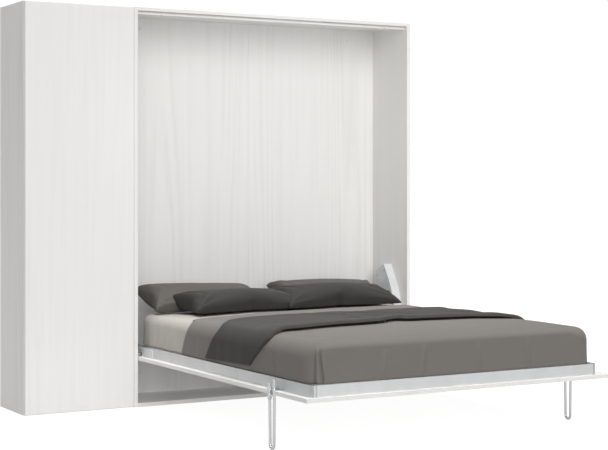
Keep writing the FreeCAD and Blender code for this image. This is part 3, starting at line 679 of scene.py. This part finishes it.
def mattress_bottom(wrap, points, faces):
    """Closes a closed wrap below with a copy of its top's grid, sewn to its lowest ring."""
    rim = dict(zip(wrap.rings[-1], wrap.rings[0]))
    under = {}
    for row in wrap.grid:
        for index in row:
            if index in rim:
                under[index] = rim[index]
            elif index not in under:
                under[index] = len(points)
                points.append(Vector((points[index].x, points[index].y, wrap.low.z)))
    for row, next_row in zip(wrap.grid, wrap.grid[1:]):
        for a, b, c, d in zip(row, row[1:], next_row[1:], next_row):
            faces.append((under[a], under[b], under[c], under[d]))


def add_mattress():
    """A padded block with piping round both edges and shallow tufts in its top."""
    low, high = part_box("mattress")
    high = high - Vector((0, 0, COVER_ROOM))
    wrap = Wrap((low, high), corner=0.076, edge=0.048, head_corner=0.050)
    points, faces = list(wrap.points), list(wrap.faces)
    mattress_bottom(wrap, points, faces)
    shaped = []
    for point, normal in zip(points, vertex_normals(points, faces)):
        side = 1.0 - abs(normal.z)
        piping = 0.0
        for height in (low.z + PIPING_FROM_BOTTOM, high.z - PIPING_FROM_TOP):
            piping += PIPING_RISE * hump(point.z - height, PIPING_WIDTH)
        tuft = 0.0
        if normal.z > 0.5:
            tuft = -TUFT_DEPTH * (math.sin(point.x * TUFT_WAVE) * math.sin(point.y * TUFT_WAVE)) ** 4
        lift = side * (piping - PIPING_RISE) + tuft - TICKING_INSET
        shaped.append(point + normal * lift)
    piece = new_mesh_object("mattress_body", shaped, faces)
    finish_soft(piece, TICKING, "mattress_ticking", "mattress")


SHEET_THICKNESS = 0.0022
SHEET_FILL_OUT = 0.6
SHEET_FOLD_RISE = 0.011
SHEET_TOP_RISE = 0.0012
SHEET_FOLDS_START = 0.05
FOLD_STRETCH = 0.22


def add_fitted_sheet():
    """The elastic-edged sheet: nearly smooth on top, with small upright gathers in its sides."""
    wrap = Wrap(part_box("fitted_sheet"), corner=0.080, edge=0.050, head_corner=0.052)
    outward = []
    for point in wrap.points:
        skirt = clamp((wrap.high.z - point.z) / SHEET_FOLDS_START)
        s = skirt_place(wrap, point)
        folds = soft_noise((s, 0, point.z * FOLD_STRETCH), 0.045, 3)
        folds += 0.5 * soft_noise((s, 0, point.z * FOLD_STRETCH), 0.021, 6)
        folds *= 0.6 + 0.6 * soft_noise((s, 1, point.z), 0.25, 4)
        top = soft_noise((point.x, point.y, 0), 0.22, 5)
        outward.append(skirt * folds * SHEET_FOLD_RISE + (1 - skirt) * top * SHEET_TOP_RISE)
    inward = [SHEET_THICKNESS - min(0.0, lift) * SHEET_FILL_OUT for lift in outward]
    piece = shell("bed_sheet", wrap.points, wrap.faces, outward, inward)
    finish_soft(piece, BEIGE, "beige_cotton", "fitted_sheet")


# ---------------------------------------------------------------- duvet

# The duvet's head edge as (x, y) across the top and (z, y) down its side.
HEAD_ACROSS = [
    (0.733, -0.482), (0.80, -0.408), (0.90, -0.360), (1.037, -0.328), (1.155, -0.288),
    (1.279, -0.248), (1.409, -0.228), (1.545, -0.214), (1.95, -0.206), (2.32, -0.20),
]
HEAD_DOWN = [(0.333, -0.446), (0.40, -0.474), (0.468, -0.512), (0.500, -0.510), (0.512, -0.482)]


def duvet_head(x):
    """Y of the duvet's head edge on top at the frame's X."""
    return along(blend_curve(HEAD_ACROSS, x - COLUMN_LEFT))


def duvet_side_head(z):
    """Y of the duvet's head edge on its sides at height z."""
    return along(blend_curve(HEAD_DOWN, z))


SKIRT_DEPTH = 0.012
SKIRT_BLEND = 0.06
SWELL_RISE, RIPPLE_RISE = 0.0022, 0.0010
FLUTE_RISE, PUCKER_RISE = 0.0035, 0.003
PUCKER_START, PUCKER_BLEND = -0.85, 0.12


def duvet_relief(wrap, point):
    """Height of the duvet's folds over its smooth form."""
    depth = wrap.high.z - point.z
    lift = SWELL_RISE * soft_noise(point, 0.30, 11)
    lift += RIPPLE_RISE * soft_noise((point.x, point.y * 0.6, point.z), 0.10, 12)
    if depth <= SKIRT_DEPTH:
        for fold in TOP_FOLDS:
            lift += crease((point.x - COLUMN_LEFT, point.y - CABINET_FRONT), *fold)
        return lift
    s = skirt_place(wrap, point)
    drop = clamp((depth - SKIRT_DEPTH) / SKIRT_BLEND)
    near_head = clamp((point.y - along(PUCKER_START)) / PUCKER_BLEND)
    lift += drop * FLUTE_RISE * soft_noise((s, 0, point.z * 0.3), 0.085, 13)
    lift += drop * near_head * PUCKER_RISE * soft_noise((s, 0, point.z * 0.25), 0.022, 14)
    for fold in SKIRT_FOLDS:
        lift += crease((s, point.z), *fold)
    return lift


# Folds as start, end, width and depth: in (skirt place, z) on the skirt, in (x, y) on the top.
SKIRT_FOLDS = [
    ((0.000, 0.455), (-0.004, 0.325), 0.0035, -0.008),
    ((0.010, 0.505), (0.010, 0.325), 0.0060, 0.005),
    ((0.018, 0.480), (0.032, 0.325), 0.0040, -0.010),
    ((0.028, 0.450), (0.048, 0.325), 0.0070, 0.006),
    ((-0.36, 0.52), (-0.33, 0.33), 0.016, -0.004),
    ((-0.33, 0.50), (-0.305, 0.33), 0.014, 0.003),
    ((0.360, 0.46), (0.352, 0.35), 0.009, 0.0070),
    ((0.575, 0.47), (0.562, 0.34), 0.009, 0.0080),
    ((0.880, 0.47), (0.892, 0.35), 0.009, 0.0075),
    ((1.178, 0.47), (1.192, 0.35), 0.009, 0.0085),
]
TOP_FOLDS = [
    ((1.60, -1.14), (1.50, -1.55), 0.012, -0.0026),
    ((1.67, -1.15), (1.60, -1.57), 0.012, 0.0030),
    ((1.76, -1.17), (1.72, -1.52), 0.012, -0.0024),
    ((0.84, -1.45), (1.05, -1.62), 0.020, 0.0020),
]
DUVET_THICKNESS = 0.0105
DUVET_FILL_OUT = 0.3
DUVET_HEM_ROWS = (0.0, 0.5, 0.9)
DUVET_HEM_DEPTH = 0.55


def duvet_hem(wrap):
    """Points near the duvet's head edge, with the share of its full form that each one keeps."""
    shares = {}
    for share, row in zip(DUVET_HEM_ROWS, wrap.grid):
        shares.update((index, share) for index in row)
    for ring in wrap.rings:
        for end in (ring, ring[::-1]):
            shares.update(zip(end, DUVET_HEM_ROWS))
    return shares


def add_duvet():
    """The duvet over the foot half of the bed, its head edge thinned to a hem."""
    wrap = Wrap(
        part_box("duvet"), corner=0.088, edge=0.066, foot_edge=0.028,
        head=duvet_head, side_head=duvet_side_head,
    )
    hem = duvet_hem(wrap)
    outward, inward = [], []
    for index, point in enumerate(wrap.points):
        lift, share = duvet_relief(wrap, point), hem.get(index, 1.0)
        outward.append(lift * share - (1 - share) * DUVET_THICKNESS * DUVET_HEM_DEPTH)
        inward.append(DUVET_THICKNESS - min(0.0, lift) * DUVET_FILL_OUT)
    piece = shell("duvet_cover", wrap.points, wrap.faces, outward, inward)
    finish_soft(piece, GREY, "grey_cotton", "duvet")
    return wrap


# ---------------------------------------------------------------- throw across the bed

# On the throw, s runs across the bed from the duvet's left edge, below 0 down its left side, and
# t from 0 at the head edge to 1 at the foot edge. Both edges are (s, y) curves.
THROW_HEAD = [
    (-0.17, -0.735), (-0.08, -0.800), (0.0, -0.860), (0.06, -0.800), (0.14, -0.690),
    (0.29, -0.600), (0.41, -0.568), (0.53, -0.548), (0.66, -0.552), (0.79, -0.530),
    (0.92, -0.545), (1.03, -0.572), (1.17, -0.545), (1.63, -0.560), (1.80, -0.600),
]
THROW_FOOT = [
    (-0.17, -1.215), (-0.11, -1.275), (-0.05, -1.350), (0.01, -1.390), (0.08, -1.330),
    (0.15, -1.262), (0.26, -1.238), (0.39, -1.208), (0.52, -1.180), (0.65, -1.168),
    (0.78, -1.145), (0.89, -1.100), (0.95, -1.080), (0.99, -1.118), (1.10, -1.128),
    (1.21, -1.147), (1.39, -1.174), (1.53, -1.240), (1.63, -1.290), (1.80, -1.240),
]
THROW_COLUMNS = 230
# Rows of t lie closer together at both hems.
THROW_ROWS = [0, 0.005, 0.012, 0.022, 0.035]
THROW_ROWS += [0.05 + 0.90 * step / 44 for step in range(45)]
THROW_ROWS += [0.965, 0.978, 0.988, 0.995, 1.0]


def section(wrap, s):
    """(X, Z) on the wrap's cross-section at s, which is 0 midway round its top left edge."""
    width = wrap.high.x - wrap.low.x
    r = wrap.edge
    half_turn = r * math.pi / 4
    mirrored = s > width / 2
    if mirrored:
        s = width - s
    if s >= half_turn:
        x, z = r + s - half_turn, wrap.high.z
    elif s > -half_turn:
        angle = (s + half_turn) / r
        x, z = r - r * math.cos(angle), wrap.high.z - r + r * math.sin(angle)
    else:
        x, z = 0.0, wrap.high.z - r + s + half_turn
    return (wrap.high.x - x if mirrored else wrap.low.x + x), z


def throw_relief(s, t, y):
    """Folds of the throw: a rolled foot edge, a turned head edge and slack toward the right."""
    on_top = blend_curve([(-0.02, 0.12), (0.10, 1.0), (1.52, 1.0), (1.63, 0.12)], s)
    lift = ROLL_RISE * on_top * blend_curve([(0.60, 0.0), (0.86, 1.0)], t)
    lift += TURN_RISE * on_top * hump(t - 0.05, 0.05)
    lift += THROW_SWELL_RISE * soft_noise((s, y, 0), 0.14, 21)
    slack = blend_curve([(0.62, 0.0), (0.95, 1.0), (1.6, 1.0)], s)
    chevron = math.sin(s * 24 + abs(t - 0.55) * 9)
    lift += SLACK_RISE * slack * chevron * hump(t - 0.5, 0.33)
    for fold in THROW_FOLDS:
        lift += crease((s, t * THROW_WIDTH), *fold)
    return lift


THROW_WIDTH = 0.6
# Folds as start, end, width and depth, in metres across and along the throw.
THROW_FOLDS = [
    ((0.66, 0.05), (0.98, 0.34), 0.014, 0.008),
    ((0.72, 0.04), (1.06, 0.33), 0.012, -0.007),
    ((0.92, 0.06), (1.20, 0.36), 0.016, 0.009),
    ((0.97, 0.44), (0.99, 0.60), 0.010, -0.014),
    ((1.05, 0.56), (1.45, 0.30), 0.020, 0.007),
]


def hem_gap(s, t):
    """How far the throw's rolled foot edge stands off the duvet."""
    on_top = blend_curve([(0.04, 0.0), (0.20, 1.0), (1.50, 1.0), (1.58, 0.0)], s)
    return HEM_GAP * on_top * blend_curve([(0.93, 0.0), (0.985, 1.0)], t)


def hem_round(t, column):
    """0 at the throw's edges and 1 inside, round like a folded cloth's edge."""
    nearer_side = min(column, THROW_COLUMNS - column)
    part = min(1.0, t * HEAD_HEM, (1 - t) * FOOT_HEM, (nearer_side + 0.3) / SIDE_HEM_COLUMNS)
    return math.sqrt(max(0.0, 1 - (1 - part) ** 2))


def add_throw(wrap):
    """The folded throw across the duvet, given as the duvet's own wrap."""
    drop = wrap.high.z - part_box("blanket_band")[0].z + wrap.edge * (math.pi / 2 - 2) / 2
    across_length = wrap.high.x - wrap.low.x + 2 * drop
    points, outward, inward = [], [], []
    for column in range(THROW_COLUMNS + 1):
        s = -drop + across_length * column / THROW_COLUMNS
        head, foot = blend_curve(THROW_HEAD, s), blend_curve(THROW_FOOT, s)
        for t in THROW_ROWS:
            y = head + (foot - head) * t
            x, z = section(wrap, s + HEM_RISE * t * clamp(-s / drop))
            point = Vector((x, along(y), z))
            base = max(0.0, duvet_relief(wrap, point)) + CLOTH_AIR
            body = THROW_THICKNESS + throw_relief(s, t, y) - CLOTH_THICKNESS
            gap = hem_gap(s, t)
            points.append(point)
            outward.append(base + CLOTH_THICKNESS + max(body * hem_round(t, column), gap))
            inward.append(-base - gap)
    faces, rows = [], len(THROW_ROWS)
    for column in range(THROW_COLUMNS):
        for row in range(rows - 1):
            a = column * rows + row
            faces.append((a, a + 1, a + rows + 1, a + rows))
    piece = shell("throw", points, faces, outward, inward)
    finish_soft(piece, CHARCOAL, "charcoal_cotton", "blanket_band")


ROLL_RISE, TURN_RISE = 0.015, 0.004
SLACK_RISE, THROW_SWELL_RISE = 0.0045, 0.0016
HEAD_HEM, FOOT_HEM, SIDE_HEM_COLUMNS = 25, 36, 2
HEM_GAP = 0.011
HEM_RISE = 0.012
THROW_THICKNESS = 0.010
CLOTH_THICKNESS = 0.0018
CLOTH_AIR = 0.0008


# ---------------------------------------------------------------- pillows

PILLOW_STEP = 0.0125
END_PULL, SIDE_PULL = 0.035, 0.05
START_HEIGHT, START_ROUGHNESS = 0.02, 0.0007


def flat_pillow(name, width, depth, seed):
    """Two flat cloths sewn together round a rim whose sides pull in between pointed corners."""
    columns, rows = round(width / PILLOW_STEP), round(depth / PILLOW_STEP)
    random = np.random.default_rng(seed)
    index, points, faces = {}, [], []

    def corner(i, j, side):
        on_rim = i in (0, columns) or j in (0, rows)
        key = (i, j, 0 if on_rim else side)
        if key not in index:
            u, v = 2 * i / columns - 1, 2 * j / rows - 1
            x = u * width / 2 * (1 - END_PULL * (1 - v * v))
            y = v * depth / 2 * (1 - SIDE_PULL * (1 - u * u))
            z = 0.0
            if not on_rim:
                z = side * START_HEIGHT * (1 - u**4) * (1 - v**4)
                z += random.normal(0, START_ROUGHNESS)
            index[key] = len(points)
            points.append(Vector((x, y, z)))
        return index[key]

    for side in (1, -1):
        for i in range(columns):
            for j in range(rows):
                face = (
                    corner(i, j, side), corner(i + 1, j, side),
                    corner(i + 1, j + 1, side), corner(i, j + 1, side),
                )
                faces.append(face if side > 0 else face[::-1])
    return new_mesh_object(name, points, faces)


FILL_PRESSURE = 4.0
FILL_FRAMES = 26


def inflate(piece):
    """Fills the pillow by cloth simulation and keeps the result as its mesh."""
    cloth = piece.modifiers.new("fill", "CLOTH")
    settings = cloth.settings
    settings.quality = 6
    settings.mass = 0.25
    settings.tension_stiffness = settings.compression_stiffness = 25
    settings.shear_stiffness = 8
    settings.bending_stiffness = 2.5
    settings.use_pressure = True
    settings.uniform_pressure_force = FILL_PRESSURE
    settings.effector_weights.gravity = 0
    scene = bpy.context.scene
    cloth.point_cache.frame_start = 1
    cloth.point_cache.frame_end = FILL_FRAMES
    for number in range(1, FILL_FRAMES + 1):
        scene.frame_set(number)
    apply_modifiers(piece)
    scene.frame_set(1)


RELAX_ROUNDS = 14
RELAX_PULL = 0.5
CORNER_REACH = 0.11


def relax(mesh, width, depth):
    """Evens the cloth out, less and less toward the pillow's pointed corners."""
    points = np.array([vertex.co[:] for vertex in mesh.vertices])
    edges = np.array([edge.vertices[:] for edge in mesh.edges])
    count = np.bincount(edges.ravel(), minlength=len(points))[:, None]
    away = np.hypot(np.abs(points[:, 0]) - width / 2, np.abs(points[:, 1]) - depth / 2)
    share = np.clip(away / CORNER_REACH, 0.0, 1.0)[:, None] * RELAX_PULL
    for _ in range(RELAX_ROUNDS):
        total = np.zeros_like(points)
        np.add.at(total, edges[:, 0], points[edges[:, 1]])
        np.add.at(total, edges[:, 1], points[edges[:, 0]])
        points += share * (total / count - points)
    for vertex, point in zip(mesh.vertices, points):
        vertex.co = point


def settle(height):
    """Heights near or below 0 are pressed flat, as where the pillow lies on the bed."""
    if height > PILLOW_GIVE:
        return height
    return PILLOW_GIVE * math.exp((height - PILLOW_GIVE) / PILLOW_GIVE)


PILLOW_GIVE = 0.016
GATHER_DEPTH, GATHER_REACH, GATHER_FANS = 0.55, 0.13, 5.5


def pillow_gather(spot, width, depth, seed):
    """Share by which cloth gathered at the pillow's corners stands up or sinks."""
    total = 0.0
    for end in (-1, 1):
        for side in (-1, 1):
            away = Vector((spot.x - end * width * 0.46, spot.y - side * depth * 0.42))
            fan = math.atan2(away.y, away.x) * GATHER_FANS
            wave = noise.noise(Vector((fan, seed * 2.7 + end, side * 3.1)))
            total += GATHER_DEPTH * wave * hump(away.length, GATHER_REACH)
    return total


BOXY = 0.58
BED_AIR = 0.0015
PILLOW_COTTONS = {"front": (DARK, "charcoal_cotton"), "back": (TAUPE, "taupe_cotton")}
PILLOWS = [
    # node, size (width, depth, thickness), middle (x, y), rise, (tilt, roll, yaw), seed
    ("pillow_back_left", (0.78, 0.33, 0.170), (1.098, 0.115), 0.066, (20, 1.9, 1.0), 1),
    ("pillow_back_right", (0.76, 0.33, 0.170), (1.940, 0.125), 0.060, (20, 1.4, -1.0), 2),
    ("pillow_front_left", (0.82, 0.34, 0.165), (1.245, -0.075), 0.036, (11, 1.5, 7.0), 3),
    ("pillow_front_right", (0.81, 0.34, 0.172), (1.866, -0.048), 0.042, (13, 0.8, 0.5), 4),
]


def add_pillow(node, size, middle, rise, turns, seed):
    """A filled pillow leaning on the bed: its middle is rise above it, its turns are degrees."""
    width, depth, thickness = size
    row = node.split("_")[1]
    piece = flat_pillow(node.replace("pillow", "cushion"), width, depth, seed)
    inflate(piece)
    relax(piece.data, width, depth)
    heights = [vertex.co.z for vertex in piece.data.vertices]
    plump = thickness / (max(heights) - min(heights))
    tilt, roll, yaw = (math.radians(angle) for angle in turns)
    turn = Matrix.Rotation(yaw, 4, "Z") @ Matrix.Rotation(tilt, 4, "X")
    turn = turn @ Matrix.Rotation(roll, 4, "Y")
    bed_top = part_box("duvet" if row == "front" else "fitted_sheet")[1].z + BED_AIR
    for vertex in piece.data.vertices:
        spot = vertex.co.copy()
        fullness = min(1.0, abs(spot.z) * plump / (thickness / 2)) ** BOXY
        gather = pillow_gather(spot, width, depth, seed)
        spot.z = math.copysign(thickness / 2 * fullness, spot.z) * (1 + gather)
        spot = turn @ spot
        spot.z = bed_top + settle(spot.z + rise)
        vertex.co = spot + Vector((across(middle[0]), along(middle[1]), 0))
    smooth = piece.modifiers.new("round", "SUBSURF")
    smooth.levels = smooth.render_levels = 1
    apply_modifiers(piece)
    material, slot_name = PILLOW_COTTONS[row]
    finish_soft(piece, material, slot_name, node)
    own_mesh(piece)


# ---------------------------------------------------------------- wall-bolt covers

# A cap's radius and rise, from its middle out. The bolts' heights and reach are the CAD model's.
COVER_PROFILE = [(0.0, 0.0030), (0.006, 0.0029), (0.0085, 0.0024), (0.0098, 0.0012), (0.0098, 0.0)]
COVER_STEPS = 24
BOLT_REACH = 0.7
BOLT_HEIGHTS = (0.140, 2.110)


def add_bolt_covers():
    """Domed caps over the wall bolts' holes in the back panels."""
    left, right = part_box("cabinet_back_left"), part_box("cabinet_back_right")
    middle = (left[1].x + right[0].x) / 2
    face_y = left[0].y
    points, faces = [], []
    for x in (middle - BOLT_REACH, middle + BOLT_REACH):
        for z in BOLT_HEIGHTS:
            start = len(points)
            points.append(Vector((x, face_y - COVER_PROFILE[0][1], z)))
            for radius, rise in COVER_PROFILE[1:]:
                for step in range(COVER_STEPS):
                    angle = 2 * math.pi * step / COVER_STEPS
                    way = (math.cos(angle) * radius, math.sin(angle) * radius)
                    points.append(Vector((x + way[0], face_y - rise, z + way[1])))
            ring = [start + 1 + step for step in range(COVER_STEPS)]
            for a, b in zip(ring, ring[1:] + ring[:1]):
                faces.append((start, a, b))
                for level in range(len(COVER_PROFILE) - 2):
                    low, high = level * COVER_STEPS, (level + 1) * COVER_STEPS
                    faces.append((a + low, a + high, b + high, b + low))
            last = (len(COVER_PROFILE) - 2) * COVER_STEPS
            faces.append(tuple(index + last for index in reversed(ring)))
    piece = new_mesh_object("bolt_covers", points, faces)
    piece.data.materials.append(coated("cover_plastic", ASH, 0.45))
    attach(piece, "cabinet")


add_bolt_covers()
add_mattress()
add_fitted_sheet()
add_throw(add_duvet())
for pillow in PILLOWS:
    add_pillow(*pillow)


# ---------------------------------------------------------------- floor

FLOOR_REACH = 30.0
FLOOR_GLOW = 0.38
FLOOR_GLOW_SEEN = 0.88


def add_floor():
    """A pale floor that glows, more so where the camera sees it, to fade into the backdrop."""
    mesh = bpy.data.meshes.new("floor")
    corners = [(x * FLOOR_REACH, y * FLOOR_REACH, 0) for x, y in ((-1, -1), (1, -1), (1, 1), (-1, 1))]
    mesh.from_pydata(corners, [], [(0, 1, 2, 3)])
    floor = bpy.data.objects.new("floor", mesh)
    bpy.context.scene.collection.objects.link(floor)
    material, tree, shader = new_material("floor", Roughness=0.9)
    tone = ramp(tree, field(tree, place(tree, EVEN), scale=1.5), (0.3, 0.215), (0.7, 0.225))
    tree.links.new(tone, shader.inputs["Base Color"])
    shader.inputs["Emission Color"].default_value = (1, 1, 1, 1)
    glow = add(tree, "MapRange")
    glow.inputs["To Min"].default_value = FLOOR_GLOW
    glow.inputs["To Max"].default_value = FLOOR_GLOW_SEEN
    tree.links.new(add(tree, "LightPath").outputs["Is Camera Ray"], glow.inputs["Value"])
    tree.links.new(glow.outputs["Result"], shader.inputs["Emission Strength"])
    mesh.materials.append(material)


add_floor()
